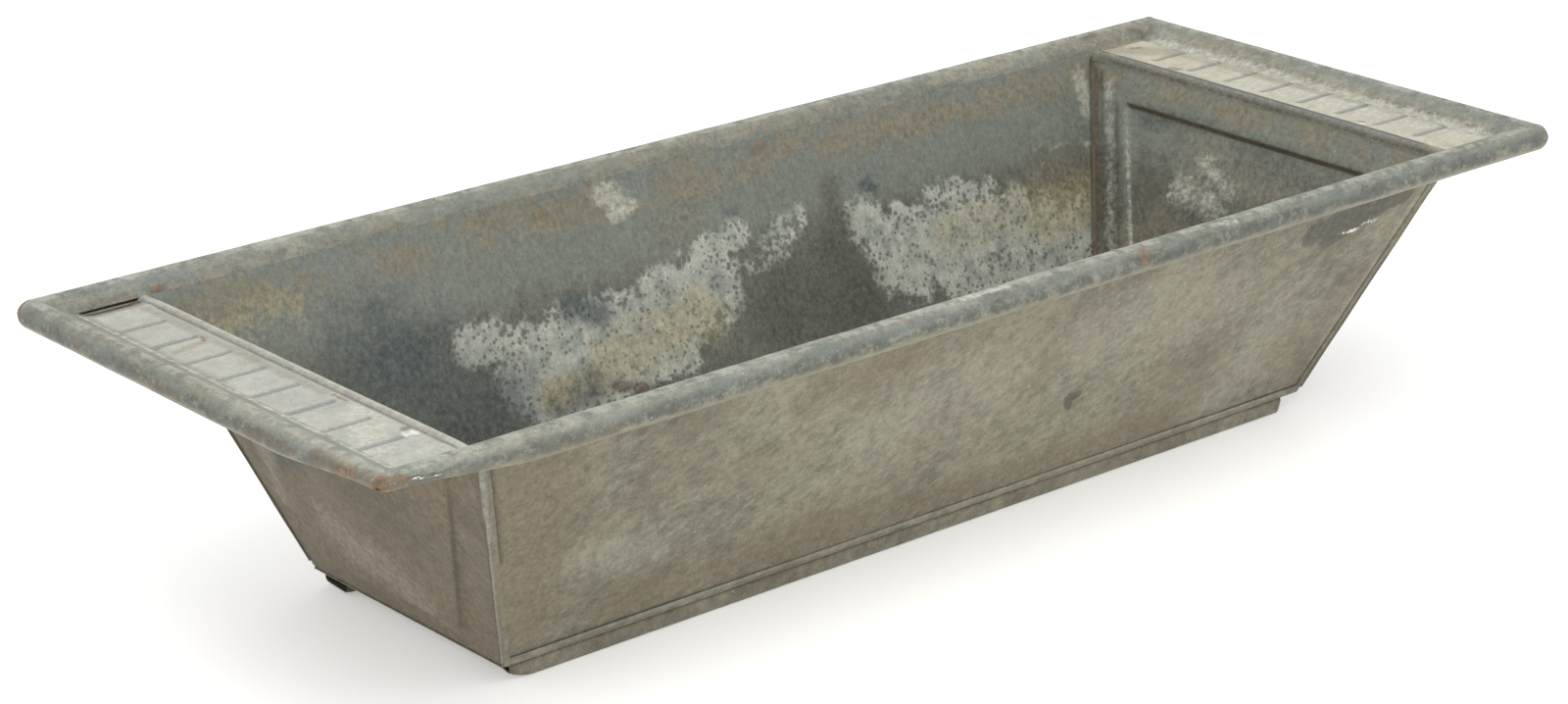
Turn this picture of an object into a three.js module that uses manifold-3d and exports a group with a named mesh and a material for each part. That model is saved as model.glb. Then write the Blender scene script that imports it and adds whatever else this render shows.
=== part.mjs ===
// A farm trough of galvanised sheet steel, in millimetres, +Z up.
// X runs along its length, Y across it, and the origin is on the ground below the middle of the rim.
// Each of the four walls is made in its own frame, where +Y points out of the trough and +X runs along
// the wall, and a group turns that frame to the rear, the right, the front or the left.
import * as THREE from 'three';
import { mergeVertices } from 'three/addons/utils/BufferGeometryUtils.js';
import Module from 'manifold-3d';

const wasm = await Module();
wasm.setup();

// Overall size, over the rolled rim.
const rimLength = 1500;
const rimWidth = 595;
const rimHeight = 305;

// Sheet metal.
const sheet = 1.2;
const gap = 0.3;

// Rolled rim bead and the reinforcing tube inside it.
const beadRadius = 14.3;
const beadCurlEnd = THREE.MathUtils.degToRad(-140);
const rimSkirt = 3;
const tubeRadius = 12.4;
const tubeWall = 2;

// Trough body: outer faces of the sheets at the floor and at the height of the bead's underside.
const floorHeight = 18.6;
const floorHalfLength = 526.5;
const floorHalfWidth = 150.3;
const wallTop = rimHeight - 2 * beadRadius;
const topHalfLength = 621;
const topHalfWidth = 258.4;
const floorFlange = 11;
const floorOverhang = 1.5;

// Field pressed outwards in each end sheet.
const fieldMargin = 48;
const fieldBottom = 43.6;
const fieldTop = 248;
const fieldDepth = 6;
const fieldStep = 5;

// End ledges, their pressed grooves, and the folded bead at their inner edge.
const ledgeHeight = 288.8;
const foldRadius = 6;
const foldCrest = 291;
const foldHalfLength = 236;
const grooveCount = 8;
const groovePitch = 54.8;
const grooveStart = 652.4;
const grooveEnd = 701;
const grooveHalfWidth = 3.5;
const grooveDepth = 2.5;

// Folded lock seams down the four corners.
const seamStand = 5.5;
const seamOuterArm = 13;
const seamInnerArm = 4;
const seamBottom = 33;
const seamTop = 281;

// Skids under the floor.
const runnerWidth = 42;
const runnerHeight = floorHeight - gap;
const runnerCorner = 6;
const runnerInset = 0.6;
const runnerNose = 519;
const runnerTail = 506;
const noseRise = 9;
const noseLength = 26;
const tailSlant = 7;

const sideLean = Math.atan((topHalfWidth - floorHalfWidth) / (wallTop - floorHeight));
const endLean = Math.atan((topHalfLength - floorHalfLength) / (wallTop - floorHeight));
const beadHeight = rimHeight - beadRadius;

const arcSteps = 12;

const zinc = { color: 0x85867a, roughness: 0.6, metalness: 0.8 };
const paleZinc = { color: 0xb0ada2, roughness: 0.65, metalness: 0.7 };
const greyZinc = { color: 0x7f8681, roughness: 0.5, metalness: 0.85 };
const solder = { color: 0xa5a294, roughness: 0.5, metalness: 0.8 };
const bareSteel = { color: 0x5c4a3a, roughness: 0.8, metalness: 0.6 };

// Half length, half width and lean of each kind of wall.
const longWall = {
  span: rimLength / 2,
  reach: rimWidth / 2,
  lean: sideLean,
  floorReach: floorHalfWidth,
};
const endWall = {
  span: rimWidth / 2,
  reach: rimLength / 2,
  lean: endLean,
  floorReach: floorHalfLength,
};

// Distance from the middle of the trough to a wall's outer face, at a height.
function outerFace(wall, height) {
  return wall.floorReach + (height - floorHeight) * Math.tan(wall.lean);
}

function innerFace(wall, height) {
  return outerFace(wall, height) - sheet / Math.cos(wall.lean);
}

// Length up a leaning wall from the floor's underside to a height.
function upWall(wall, height) {
  return (height - floorHeight) / Math.cos(wall.lean);
}

function toSolid(geometry) {
  const bare = geometry.clone();
  bare.deleteAttribute('normal');
  bare.deleteAttribute('uv');
  const merged = mergeVertices(bare, 1e-4);
  return new wasm.Manifold(new wasm.Mesh({
    numProp: 3,
    vertProperties: Float32Array.from(merged.attributes.position.array),
    triVerts: Uint32Array.from(merged.index.array),
  }));
}

function toGeometry(solid) {
  const mesh = solid.getMesh();
  const geometry = new THREE.BufferGeometry();
  geometry.setAttribute('position', new THREE.BufferAttribute(mesh.vertProperties, 3));
  geometry.setIndex(new THREE.BufferAttribute(mesh.triVerts, 1));
  geometry.computeVertexNormals();
  return geometry;
}

function extrude(shape, depth, steps = arcSteps) {
  return new THREE.ExtrudeGeometry(shape, { depth, curveSegments: steps, bevelEnabled: false });
}

function block(width, depth, height) {
  return new THREE.BoxGeometry(width, depth, height);
}

function piece(name, geometry, finish) {
  const mesh = new THREE.Mesh(geometry, new THREE.MeshStandardMaterial(finish));
  mesh.name = name;
  return mesh;
}

function shapeFrom(points) {
  return new THREE.Shape(points.map(([x, y]) => new THREE.Vector2(x, y)));
}

// Lays a section drawn in (outwards, upwards) along a wall's X, centred on the wall.
function alongWall(section, length, steps) {
  const geometry = extrude(section, length, steps);
  geometry.translate(0, 0, -length / 2);
  const outwards = new THREE.Vector3(0, 1, 0);
  const upwards = new THREE.Vector3(0, 0, 1);
  const along = new THREE.Vector3(1, 0, 0);
  geometry.applyMatrix4(new THREE.Matrix4().makeBasis(outwards, upwards, along));
  return geometry;
}

// Rim section about the bead's centre: a short skirt in line with the side sheet, a sweep up to the
// crest, and a curl that goes out, down and back in under itself, open on its inner side.
function rimSection() {
  const innerAtTop = innerFace(longWall, wallTop);
  const crestOffset = longWall.reach - beadRadius - innerAtTop - 2 * beadRadius * Math.tan(sideLean);
  const sweepRadius = crestOffset / (1 / Math.cos(sideLean) - Math.tan(sideLean));
  const sweepCentre = beadRadius - sweepRadius;
  const wallAngle = Math.PI - sideLean;
  const crest = Math.PI / 2;
  const skirtX = -Math.sin(sideLean) * rimSkirt;
  const skirtY = -Math.cos(sideLean) * rimSkirt;
  const outer = sweepRadius;
  const inner = sweepRadius - sheet;
  const section = new THREE.Shape();
  section.moveTo(outer * Math.cos(wallAngle) + skirtX, sweepCentre + outer * Math.sin(wallAngle) + skirtY);
  section.absarc(0, sweepCentre, outer, wallAngle, crest, true);
  section.absarc(0, 0, beadRadius, crest, beadCurlEnd, true);
  section.absarc(0, 0, beadRadius - sheet, beadCurlEnd, crest, false);
  section.absarc(0, sweepCentre, inner, crest, wallAngle, false);
  section.lineTo(inner * Math.cos(wallAngle) + skirtX, sweepCentre + inner * Math.sin(wallAngle) + skirtY);
  section.closePath();
  return { section, skirtBottom: beadHeight + sweepCentre + outer * Math.sin(wallAngle) + skirtY };
}

const rim = rimSection();
const sideSheetTop = rim.skirtBottom - sheet * Math.sin(sideLean) - gap;

// A rolled bead, mitred inside the corners and cut square where the corner caps start.
function rimBead(wall) {
  const cornerX = wall.span - beadRadius;
  const cornerY = wall.reach - beadRadius;
  let bead = toSolid(alongWall(rim.section, 2 * (cornerX - gap)).translate(0, cornerY, beadHeight));
  const size = 4 * beadRadius;
  for (const end of [-1, 1]) {
    const mitre = block(size * 2, size, size * 2);
    mitre.translate(0, (gap - size) / 2, 0);
    mitre.rotateZ(end * Math.PI / 4);
    mitre.translate(end * cornerX, cornerY, beadHeight);
    bead = bead.subtract(toSolid(mitre));
  }
  return toGeometry(bead);
}

// Steel tube that fills the bead: the long ones run through, the short ones butt against them.
function rimTube(wall, halfLength) {
  const ring = new THREE.Shape();
  ring.absarc(0, 0, tubeRadius, 0, 2 * Math.PI);
  const bore = new THREE.Path();
  bore.absarc(0, 0, tubeRadius - tubeWall, 0, 2 * Math.PI);
  ring.holes.push(bore);
  return alongWall(ring, 2 * halfLength, 16).translate(0, wall.reach - beadRadius, beadHeight);
}

// Plain leaning side sheet, a trapezium whose ends stand past the end sheets to be hooked by the seams.
function sideSheet() {
  const bottom = floorHeight + sheet + gap;
  const halfBottom = outerFace(endWall, bottom) + seamStand;
  const halfTop = outerFace(endWall, sideSheetTop) + seamStand;
  const low = upWall(longWall, bottom);
  const high = upWall(longWall, sideSheetTop);
  return extrude(shapeFrom([[-halfBottom, low], [halfBottom, low], [halfTop, high], [-halfTop, high]]), sheet);
}

// Leaning end sheet that fits between the side sheets, with a field pressed outwards in it.
function endSheet() {
  const sideGap = 0.5;
  const foldCentre = foldCrest - foldRadius;
  const heights = {
    bottom: floorHeight + sheet + gap,
    top: foldCentre + foldRadius * Math.sin(endLean) - sheet * Math.sin(endLean) - gap,
  };
  const half = (height, margin) => innerFace(longWall, height) - sideGap - margin;
  const outline = (low, high, margin) => shapeFrom([
    [-half(low, margin), upWall(endWall, low)],
    [half(low, margin), upWall(endWall, low)],
    [half(high, margin), upWall(endWall, high)],
    [-half(high, margin), upWall(endWall, high)],
  ]);
  const plate = toSolid(extrude(outline(heights.bottom, heights.top, 0), sheet));
  const field = new THREE.ExtrudeGeometry(outline(fieldBottom, fieldTop, fieldMargin), {
    depth: sheet,
    bevelThickness: fieldDepth,
    bevelSize: fieldStep,
    bevelOffset: -fieldStep,
    bevelSegments: 1,
  });
  const boss = toSolid(field);
  const hollow = toSolid(field.clone().translate(0, 0, sheet));
  return toGeometry(plate.add(boss).subtract(hollow));
}

// Turns a sheet drawn in (along the wall, up the wall) to the wall's lean, outer face outwards.
function leanOut(mesh, wall) {
  mesh.rotation.x = Math.PI / 2 - wall.lean;
  mesh.position.set(0, wall.floorReach, floorHeight);
  return mesh;
}

// Folded bead over the top of an end sheet, and its place.
const foldCentreHeight = foldCrest - foldRadius;
const foldCentreReach = innerFace(endWall, foldCentreHeight) + foldRadius / Math.cos(endLean);
const ledgeStart = foldCentreReach + foldRadius + 3 * gap;

function ledgeFold() {
  const section = new THREE.Shape();
  section.absarc(0, 0, foldRadius, Math.PI - endLean, 0, true);
  section.absarc(0, 0, foldRadius - sheet, 0, Math.PI - endLean, false);
  return alongWall(section, 2 * foldHalfLength).translate(0, foldCentreReach, foldCentreHeight);
}

// Solder run that carries the fold's shape on to the side sheet at each end of the fold.
function foldSolder(end) {
  const solderRadius = foldRadius - 0.6;
  const start = foldHalfLength + gap;
  const stop = innerFace(longWall, foldCentreHeight) - 2 * gap;
  const section = new THREE.Shape();
  section.absarc(0, 0, solderRadius, Math.PI - endLean, 0, true);
  section.closePath();
  const run = alongWall(section, stop - start, 8);
  return run.translate(end * (start + stop) / 2, foldCentreReach, foldCentreHeight + gap);
}

// Flat ledge from the fold to the end rim, with a row of grooves pressed down across it.
function ledge() {
  const stop = endWall.reach - beadRadius - (longWall.reach - beadRadius - innerFace(longWall, ledgeHeight)) - gap;
  const half = innerFace(longWall, ledgeHeight - sheet) - 3 * gap;
  const plate = block(2 * half, stop - ledgeStart, sheet);
  plate.translate(0, (stop + ledgeStart) / 2, ledgeHeight - sheet / 2);
  const radius = (grooveHalfWidth ** 2 + grooveDepth ** 2) / (2 * grooveDepth);
  const grooveLength = grooveEnd - grooveStart - 2 * grooveHalfWidth;
  const below = block(2 * half, stop - ledgeStart, 4 * radius);
  below.translate(0, (stop + ledgeStart) / 2, ledgeHeight - 2 * radius);
  const underside = toSolid(below);
  let result = toSolid(plate);
  for (let i = 0; i < grooveCount; i += 1) {
    const x = (i - (grooveCount - 1) / 2) * groovePitch;
    const place = (size) => {
      const capsule = new THREE.CapsuleGeometry(size, grooveLength, 2, 10);
      return toSolid(capsule.translate(x, (grooveStart + grooveEnd) / 2, ledgeHeight + radius - grooveDepth));
    };
    const boss = place(radius + sheet).intersect(underside);
    result = result.add(boss).subtract(place(radius));
  }
  return toGeometry(result);
}

// Thin quarter dome that closes the outer corner of two beads, drawn for the corner at +X, +Y.
function cornerCap() {
  const dome = toSolid(new THREE.SphereGeometry(beadRadius, 16, 12));
  const inside = toSolid(new THREE.SphereGeometry(beadRadius - sheet, 16, 12));
  const corner = block(2 * beadRadius, 2 * beadRadius, 4 * beadRadius);
  corner.translate(beadRadius, beadRadius, 0);
  return toGeometry(dome.intersect(toSolid(corner)).subtract(inside));
}

// Folded strip that hooks over the side sheet's end: a wide arm outside, a short arm inside.
function cornerSeam(end) {
  const back = gap + sheet;
  const front = -sheet - gap;
  const section = shapeFrom([
    [-seamOuterArm, gap],
    [-seamOuterArm, back],
    [back, back],
    [back, front - sheet],
    [-seamInnerArm, front - sheet],
    [-seamInnerArm, front],
    [gap, front],
    [gap, gap],
  ].map(([x, y]) => [end * x, y]));
  const direction = new THREE.Vector3(end * Math.tan(endLean), Math.tan(sideLean), 1);
  const length = direction.length() * (seamTop - seamBottom);
  const along = direction.clone().normalize();
  const outwards = new THREE.Vector3(0, Math.cos(sideLean), -Math.sin(sideLean));
  const across = new THREE.Vector3().crossVectors(outwards, along);
  const start = new THREE.Vector3(end * (floorHalfLength + seamStand), floorHalfWidth, floorHeight);
  start.addScaledVector(direction, seamBottom - floorHeight);
  const geometry = extrude(section, length);
  geometry.applyMatrix4(new THREE.Matrix4().makeBasis(across, outwards, along));
  return geometry.translate(start.x, start.y, start.z);
}

// Flat floor whose long edges turn up outside the side sheets.
function floorPan() {
  const reach = floorHalfWidth + gap / Math.cos(sideLean);
  const lift = new THREE.Vector2(Math.sin(sideLean), Math.cos(sideLean)).multiplyScalar(floorFlange);
  const outside = reach + sheet / Math.cos(sideLean);
  const half = [
    [outside - sheet, floorHeight],
    [outside, floorHeight + sheet],
    [outside + lift.x, floorHeight + lift.y],
    [reach + lift.x, floorHeight + lift.y],
    [reach + sheet * Math.tan(sideLean), floorHeight + sheet],
  ];
  const mirrored = half.map(([y, z]) => [-y, z]).reverse();
  return alongWall(shapeFrom([...half, ...mirrored]), 2 * (floorHalfLength + floorOverhang));
}

function roundedSection(width, height, radius) {
  const x = width / 2;
  const y = height / 2;
  const quarter = Math.PI / 2;
  const section = new THREE.Shape();
  section.absarc(x - radius, y - radius, radius, 0, quarter);
  section.absarc(-x + radius, y - radius, radius, quarter, 2 * quarter);
  section.absarc(-x + radius, -y + radius, radius, 2 * quarter, 3 * quarter);
  section.absarc(x - radius, -y + radius, radius, 3 * quarter, 4 * quarter);
  section.closePath();
  return section;
}

// Hollow folded skid on the centre line, open at both ends: its nose rises at +X, its tail is cut on the slant.
function runner() {
  const section = roundedSection(runnerWidth, runnerHeight, runnerCorner);
  const hollow = roundedSection(runnerWidth - 2 * sheet, runnerHeight - 2 * sheet, runnerCorner - sheet);
  section.holes.push(hollow);
  const length = runnerNose + runnerTail;
  const tube = alongWall(section, length, 3);
  tube.translate((runnerNose - runnerTail) / 2, 0, runnerHeight / 2);
  const cut = (slope, x, z) => {
    const wedge = block(6 * noseLength, 2 * runnerWidth, 4 * noseLength);
    wedge.translate(0, 0, -2 * noseLength);
    wedge.rotateY(slope);
    return toSolid(wedge.translate(x, 0, z));
  };
  const nose = cut(-Math.atan(noseRise / noseLength), runnerNose - noseLength, 0);
  const tail = cut(Math.atan(runnerHeight / tailSlant), -runnerTail, runnerHeight);
  return toGeometry(toSolid(tube).subtract(nose).subtract(tail));
}

const trough = new THREE.Group();

const floorFrame = new THREE.Group();
floorFrame.add(piece('floor_pan', floorPan(), zinc));
trough.add(floorFrame);

const longSides = [
  { name: 'rear', turn: 0, left: 'left', right: 'right' },
  { name: 'front', turn: Math.PI, left: 'right', right: 'left' },
];
for (const side of longSides) {
  const frame = new THREE.Group();
  frame.rotation.z = side.turn;
  frame.add(leanOut(piece(`${side.name}_side_sheet`, sideSheet(), zinc), longWall));
  frame.add(piece(`${side.name}_rim`, rimBead(longWall), greyZinc));
  frame.add(piece(`${side.name}_rim_tube`, rimTube(longWall, longWall.span - beadRadius - 1), bareSteel));
  const skid = piece(`${side.name}_runner`, runner(), zinc);
  skid.rotation.z = Math.PI - side.turn;
  skid.position.y = floorHalfWidth - runnerInset - runnerWidth / 2;
  frame.add(skid);
  frame.add(piece(`corner_seam_${side.name}_${side.left}`, cornerSeam(-1), zinc));
  frame.add(piece(`corner_seam_${side.name}_${side.right}`, cornerSeam(1), zinc));
  trough.add(frame);
}

const endSides = [
  { name: 'right', turn: -Math.PI / 2, left: 'rear', right: 'front' },
  { name: 'left', turn: Math.PI / 2, left: 'front', right: 'rear' },
];
for (const side of endSides) {
  const frame = new THREE.Group();
  frame.rotation.z = side.turn;
  const tubeHalfLength = endWall.span - beadRadius - tubeRadius - 1;
  frame.add(leanOut(piece(`${side.name}_end_sheet`, endSheet(), zinc), endWall));
  frame.add(piece(`${side.name}_rim`, rimBead(endWall), greyZinc));
  frame.add(piece(`${side.name}_rim_tube`, rimTube(endWall, tubeHalfLength), bareSteel));
  frame.add(piece(`${side.name}_ledge`, ledge(), paleZinc));
  frame.add(piece(`${side.name}_ledge_fold`, ledgeFold(), greyZinc));
  frame.add(piece(`fold_solder_${side.left}_${side.name}`, foldSolder(-1), solder));
  frame.add(piece(`fold_solder_${side.right}_${side.name}`, foldSolder(1), solder));
  trough.add(frame);
}

const corners = [
  { name: 'rear_right', x: 1, y: 1, turn: 0 },
  { name: 'rear_left', x: -1, y: 1, turn: Math.PI / 2 },
  { name: 'front_left', x: -1, y: -1, turn: Math.PI },
  { name: 'front_right', x: 1, y: -1, turn: -Math.PI / 2 },
];
for (const corner of corners) {
  const cap = piece(`corner_cap_${corner.name}`, cornerCap(), solder);
  cap.rotation.z = corner.turn;
  cap.position.set(
    corner.x * (rimLength / 2 - beadRadius),
    corner.y * (rimWidth / 2 - beadRadius),
    beadHeight,
  );
  trough.add(cap);
}

export default trough;
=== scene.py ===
import math

import bpy
from mathutils import Matrix, Vector, noise


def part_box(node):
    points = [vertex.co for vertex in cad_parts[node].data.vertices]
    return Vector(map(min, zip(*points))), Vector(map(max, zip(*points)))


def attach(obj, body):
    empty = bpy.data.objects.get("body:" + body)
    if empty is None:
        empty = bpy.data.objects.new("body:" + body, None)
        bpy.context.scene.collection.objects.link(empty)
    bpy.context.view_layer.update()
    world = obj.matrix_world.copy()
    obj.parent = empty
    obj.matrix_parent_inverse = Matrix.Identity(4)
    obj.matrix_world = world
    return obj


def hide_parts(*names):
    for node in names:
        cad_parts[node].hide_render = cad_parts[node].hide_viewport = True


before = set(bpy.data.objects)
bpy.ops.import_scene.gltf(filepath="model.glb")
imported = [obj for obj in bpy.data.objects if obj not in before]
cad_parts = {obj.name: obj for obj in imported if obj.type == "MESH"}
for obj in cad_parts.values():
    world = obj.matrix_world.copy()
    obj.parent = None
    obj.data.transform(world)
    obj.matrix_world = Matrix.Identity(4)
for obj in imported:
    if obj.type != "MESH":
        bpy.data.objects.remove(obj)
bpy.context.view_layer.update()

mm = 0.001
upwards = Vector((0, 0, 1))


# ------------------------------------------------------------
# Stage: the trough stands alone on a pale studio floor, seen from above its front left corner,
# under one large soft light and an even white surround.

view_yaw = math.radians(-40.46)
view_down = math.radians(20.33)
view_roll = math.radians(-0.35)
turned = (
    Matrix.Rotation(view_yaw, 4, "Z")
    @ Matrix.Rotation(math.pi / 2 - view_down, 4, "X")
    @ Matrix.Rotation(view_roll, 4, "Z")
)
bpy.ops.object.camera_add(location=(-2.4044, -2.7456, 1.504), rotation=turned.to_euler())
camera = bpy.context.object
camera.data.sensor_width = 36
camera.data.lens = 89.23
bpy.context.scene.camera = camera
bpy.context.scene.view_settings.view_transform = "Standard"

bpy.ops.object.light_add(type="AREA", location=(-0.9, -1.0, 2.9))
key_light = bpy.context.object
key_light.data.shape = "DISK"
key_light.data.size = 2.6
key_light.data.energy = 30
key_light.data.color = (1.0, 0.985, 0.96)
key_light.rotation_euler = (Vector((0, 0, 0.2)) - key_light.location).to_track_quat("-Z", "Y").to_euler()

surround = bpy.data.worlds.new("surround")
surround.use_nodes = True
surround.node_tree.nodes["Background"].inputs["Color"].default_value = (1, 1, 1, 1)
surround.node_tree.nodes["Background"].inputs["Strength"].default_value = 1.0
bpy.context.scene.world = surround


def linear(colour):
    """An sRGB hex colour as linear red, green, blue and alpha."""
    parts = [int(colour[i:i + 2], 16) / 255 for i in (1, 3, 5)]
    return [p / 12.92 if p <= 0.04045 else ((p + 0.055) / 1.055) ** 2.4 for p in parts] + [1]


def add(tree, kind, inputs=None, **settings):
    """Adds a node: settings are its own properties, inputs its sockets' values or what they link to."""
    made = tree.nodes.new(kind)
    for key, value in settings.items():
        setattr(made, key, value)
    for key, value in (inputs or {}).items():
        if isinstance(value, bpy.types.NodeSocket):
            tree.links.new(value, made.inputs[key])
        else:
            made.inputs[key].default_value = value
    return made


bpy.ops.mesh.primitive_plane_add(size=14, location=(0, 0, 0))
floor = bpy.context.object
floor.name = "studio_floor"
paper = bpy.data.materials.new("matt_paper")
paper.use_nodes = True
paper_surface = paper.node_tree.nodes["Principled BSDF"]
paper_surface.inputs["Base Color"].default_value = linear("#fbfbfa")
paper_surface.inputs["Roughness"].default_value = 0.9
paper_surface.inputs["Emission Color"].default_value = (1, 1, 1, 1)
paper_surface.inputs["Emission Strength"].default_value = 0.3
floor.data.materials.append(paper)


# ------------------------------------------------------------
# Floor pan: one flat sheet of galvanised steel, its long edges turned up outside the sides and
# closed flat against them. It carries the skids below.

sheet = 1.2
side_lean = math.atan(108.1 / 257.8)
end_lean = math.atan(94.5 / 257.8)
pan_low, pan_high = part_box("floor_pan")
rim_high = Vector(map(max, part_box("rear_rim")[1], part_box("right_rim")[1]))
floor_height = pan_low.z / mm
floor_half_width = 150.3
floor_half_length = 526.5
rim_half_length = rim_high.x / mm
rim_half_width = rim_high.y / mm
rim_height = rim_high.z / mm
wall_turn = {"rear": 0, "right": -90, "front": 180, "left": 90}
wall_foot = {wall: floor_half_width if wall in ("rear", "front") else floor_half_length for wall in wall_turn}
wall_lean = {wall: side_lean if wall in ("rear", "front") else end_lean for wall in wall_turn}


def place(wall, along, out, up):
    """A point by one of the four walls: along it, out from the trough's middle, and up, in mm."""
    return Matrix.Rotation(math.radians(wall_turn[wall]), 3, "Z") @ Vector((along, out, up)) * mm


def on_wall(wall, along, up, proud=0.0):
    """A point on a wall's outer face at a height, or that far proud of it."""
    lean = wall_lean[wall]
    out = wall_foot[wall] + (up - floor_height) * math.tan(lean)
    return place(wall, along, out + proud * math.cos(lean), up - proud * math.sin(lean))


def spot(wall, along, up, proud=0.0):
    """A place on a wall in mm, to brush stains, painted shade and painted highlights at."""
    return on_wall(wall, along, up, proud) / mm


def steps(first, last, count):
    """Evenly spaced numbers from first to last, both included."""
    return [first + (last - first) * i / (count - 1) for i in range(count)]


def start_mesh(name):
    """An empty mesh object at the origin, left in edit mode."""
    bpy.ops.object.select_all(action="DESELECT")
    bpy.ops.mesh.primitive_plane_add(size=mm)
    piece = bpy.context.object
    piece.name = piece.data.name = name
    bpy.ops.object.mode_set(mode="EDIT")
    bpy.ops.mesh.delete(type="VERT")
    return piece


def draw_line(points):
    """Draws a line in the open mesh by extruding one vertex from point to point."""
    bpy.ops.mesh.select_all(action="DESELECT")
    bpy.ops.mesh.primitive_plane_add(size=mm, location=points[0])
    bpy.ops.mesh.merge(type="CENTER")
    for here, there in zip(points, points[1:]):
        bpy.ops.mesh.extrude_region_move(TRANSFORM_OT_translate={"value": there - here})


def choose(piece):
    """Makes a piece the only selected object and the active one."""
    bpy.ops.object.select_all(action="DESELECT")
    piece.select_set(True)
    bpy.context.view_layer.objects.active = piece


def flip(piece):
    """Turns all of a piece's faces round."""
    choose(piece)
    bpy.ops.object.mode_set(mode="EDIT")
    bpy.ops.mesh.select_all(action="SELECT")
    bpy.ops.mesh.flip_normals()
    bpy.ops.object.mode_set(mode="OBJECT")


def face_towards(piece, facing):
    """Turns the faces of an open skin so that most of them look towards facing."""
    bpy.ops.mesh.select_all(action="SELECT")
    bpy.ops.mesh.normals_make_consistent(inside=False)
    bpy.ops.object.mode_set(mode="OBJECT")
    if sum(face.normal.dot(facing) * face.area for face in piece.data.polygons) < 0:
        flip(piece)


def skin(name, lines, cuts, facing):
    """Draws like lines and bridges each to the next, with that many cuts in between."""
    piece = start_mesh(name)
    for line in lines:
        draw_line(line)
    bpy.ops.mesh.select_all(action="SELECT")
    bpy.ops.mesh.remove_doubles(threshold=0.02 * mm)
    bpy.ops.mesh.bridge_edge_loops(number_cuts=cuts, interpolation="LINEAR")
    face_towards(piece, facing)
    return piece


def join(name, pieces, facing):
    """Joins skins along their shared edges into one piece."""
    bpy.ops.object.select_all(action="DESELECT")
    for piece in pieces:
        piece.select_set(True)
    bpy.context.view_layer.objects.active = pieces[0]
    bpy.ops.object.join()
    pieces[0].name = pieces[0].data.name = name
    bpy.ops.object.mode_set(mode="EDIT")
    bpy.ops.mesh.select_all(action="SELECT")
    bpy.ops.mesh.remove_doubles(threshold=0.05 * mm)
    face_towards(pieces[0], facing)
    return pieces[0]


def apply_modifier(piece, kind, **settings):
    """Adds a modifier to a piece and applies it."""
    choose(piece)
    modifier = piece.modifiers.new("work", kind)
    for key, value in settings.items():
        setattr(modifier, key, value)
    bpy.ops.object.modifier_apply(modifier=modifier.name)


def press(piece, chosen, move, reach):
    """Moves the chosen points of a piece, in mm, and lets those within reach follow softly."""
    choose(piece)
    for part in (piece.data.polygons, piece.data.edges):
        part.foreach_set("select", [False] * len(part))
    found = [bool(chosen(vertex.co / mm)) for vertex in piece.data.vertices]
    if not any(found):
        raise RuntimeError(f"{piece.name}: no point to press")
    piece.data.vertices.foreach_set("select", found)
    bpy.ops.object.mode_set(mode="EDIT")
    bpy.ops.transform.translate(
        value=Vector(move) * mm,
        use_proportional_edit=True,
        proportional_edit_falloff="SMOOTH",
        proportional_size=reach * mm,
    )
    bpy.ops.object.mode_set(mode="OBJECT")


def buckle(piece, amount, size, seed, fade=None):
    """Makes a sheet uneven: moves its points along their normals by a smooth random height, in mm."""
    normals = [vertex.normal.copy() for vertex in piece.data.vertices]
    for vertex, normal in zip(piece.data.vertices, normals):
        height = noise.noise(vertex.co / (size * mm) + Vector((seed, 0, 0)))
        hold = fade(vertex.co / mm) if fade else 1
        vertex.co += normal * amount * height * hold * mm


def brush(piece, layer, *strokes, wall=None):
    """Brushes soft strokes into a piece's paint layer: start, end, half width and strength, in mm.
    With a wall, starts and ends are places on it as spot() takes them."""
    if layer not in piece.data.attributes:
        piece.data.attributes.new(layer, "FLOAT", "POINT")
    values = piece.data.attributes[layer].data
    places = [vertex.co / mm for vertex in piece.data.vertices]
    for start, end, half_width, strength in strokes:
        start, end = (spot(wall, *start), spot(wall, *end)) if wall else (Vector(start), Vector(end))
        run = end - start
        reach = Vector((1, 1, 1)) * 1.6 * half_width
        low = Vector(map(min, start, end)) - reach
        high = Vector(map(max, start, end)) + reach
        for value, at in zip(values, places):
            if low.x < at.x < high.x and low.y < at.y < high.y and low.z < at.z < high.z:
                share = (at - start).dot(run) / max(run.length_squared, 0.01)
                off = (at - start - run * max(0.0, min(1.0, share))).length / half_width
                value.value = max(value.value, strength * max(0.0, min(1.0, (1.6 - off) / 1.2)))


def finish_sheet(piece, thickness, finishes, slot_name, *nodes, even=True):
    """Gives a skin its thickness inwards and its finishes, the second one on faces that look up,
    ties it to the body and hides the nodes it stands for. The slot name is not used."""
    apply_modifier(piece, "SOLIDIFY", thickness=thickness * mm, offset=-1, use_even_offset=even)
    for finish in finishes:
        piece.data.materials.append(finish)
    if len(finishes) > 1:
        for face in piece.data.polygons:
            face.material_index = 1 if face.normal.z > 0.02 else 0
    choose(piece)
    bpy.ops.object.shade_smooth_by_angle(angle=math.radians(35))
    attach(piece, "root")
    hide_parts(*nodes)
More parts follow.
